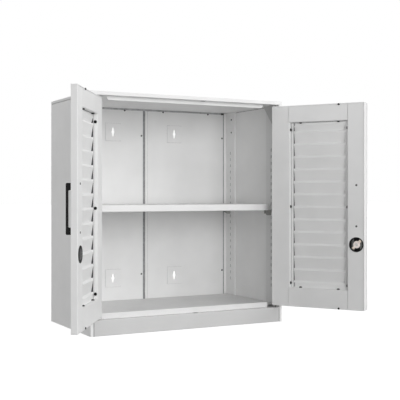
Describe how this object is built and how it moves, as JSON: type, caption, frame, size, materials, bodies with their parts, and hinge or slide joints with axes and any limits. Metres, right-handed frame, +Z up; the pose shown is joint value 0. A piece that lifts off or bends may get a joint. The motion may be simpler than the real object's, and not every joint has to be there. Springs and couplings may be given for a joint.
{
  "type": "metal wall cabinet",
  "caption": "Folded sheet-steel wall cabinet with louvred double doors, a lift-off shelf, rear keyholes, bar handles and a rod lock.",
  "frame": {"origin": "middle of the cabinet's rear, in the plane that lies on the wall, at half the cabinet's width and height", "axes": "+X to the cabinet's right, as seen from the front; +Y from the front into the wall; +Z up"},
  "size_m": [1.08, 0.6949, 0.8],
  "materials": {
    "powder_coat": "light grey powder coat, fine texture, low sheen",
    "black_plastic": "satin black moulded plastic",
    "zinc": "bright zinc plate",
    "spring_steel": "dark oiled spring steel"
  },
  "bodies": {
    "cabinet": {"left_side_panel": "powder_coat", "right_side_panel": "powder_coat", "top_panel": "powder_coat", "ceiling_panel": "powder_coat", "floor_panel": "powder_coat", "plinth_front": "powder_coat", "plinth_back": "powder_coat", "left_back_panel": "powder_coat", "right_back_panel": "powder_coat", "back_joint_strip": "powder_coat", "upper_left_hanging_plate": "powder_coat", "upper_right_hanging_plate": "powder_coat", "lower_left_hanging_plate": "powder_coat", "lower_right_hanging_plate": "powder_coat", "front_left_upright": "powder_coat", "front_right_upright": "powder_coat", "rear_left_upright": "powder_coat", "rear_right_upright": "powder_coat", "left_corner_bracket": "powder_coat", "right_corner_bracket": "powder_coat", "front_left_shelf_clip": "spring_steel", "front_right_shelf_clip": "spring_steel", "rear_left_shelf_clip": "spring_steel", "rear_right_shelf_clip": "spring_steel", "upper_left_hinge_pin": "zinc", "upper_right_hinge_pin": "zinc", "lower_left_hinge_pin": "zinc", "lower_right_hinge_pin": "zinc"},
    "shelf": {"shelf": "powder_coat"},
    "left_door": {"left_door_skin": "powder_coat", "left_hinge_stile": "powder_coat", "left_lock_stile": "powder_coat", "left_top_rail": "powder_coat", "left_bottom_rail": "powder_coat", "left_louvre_panel": "powder_coat", "left_handle": "black_plastic", "left_hole_cap": "black_plastic", "upper_left_bumper": "black_plastic", "lower_left_bumper": "black_plastic", "upper_left_hinge_bush": "zinc", "lower_left_hinge_bush": "zinc"},
    "right_door": {"right_door_skin": "powder_coat", "right_hinge_stile": "powder_coat", "right_lock_stile": "powder_coat", "right_top_rail": "powder_coat", "right_bottom_rail": "powder_coat", "right_louvre_panel": "powder_coat", "right_handle": "black_plastic", "upper_right_bumper": "black_plastic", "lower_right_bumper": "black_plastic", "upper_right_hinge_bush": "zinc", "lower_right_hinge_bush": "zinc", "lock_bezel": "black_plastic", "lock_housing": "zinc"},
    "lock": {"key_plug": "zinc", "lock_cam": "zinc", "cam_nut": "zinc"},
    "upper_rod": {"upper_rod": "zinc"},
    "lower_rod": {"lower_rod": "zinc"}
  },
  "joints": [
    {"name": "left_door_hinge", "type": "hinge", "parent": "cabinet", "child": "left_door", "pos_m": [-0.3465, -0.3948, 0], "axis": [0, 0, 1], "range_deg": [-7, 123]},
    {"name": "right_door_hinge", "type": "hinge", "parent": "cabinet", "child": "right_door", "pos_m": [0.3465, -0.3948, 0], "axis": [0, 0, -1], "range_deg": [-7, 123]},
    {"name": "lock_turn", "type": "hinge", "parent": "right_door", "child": "lock", "pos_m": [0.5197, -0.65196, -0.111], "axis": [0.8387, 0.5446, 0], "range_deg": [0, 90]},
    {"name": "upper_rod_slide", "type": "slide", "parent": "right_door", "child": "upper_rod", "axis": [0, 0, 1], "range_m": [0, 0.02545]},
    {"name": "lower_rod_slide", "type": "slide", "parent": "right_door", "child": "lower_rod", "axis": [0, 0, -1], "range_m": [0, 0.02546]},
    {"name": "shelf_lift", "type": "slide", "parent": "cabinet", "child": "shelf", "axis": [0, 0, 1], "range_m": [0, 0.12]}
  ],
  "couplings": [
    {"joint": "lock_turn", "follows": "upper_rod_slide", "rad_per_m": 61.7},
    {"joint": "lower_rod_slide", "follows": "upper_rod_slide", "ratio": 1}
  ]
}
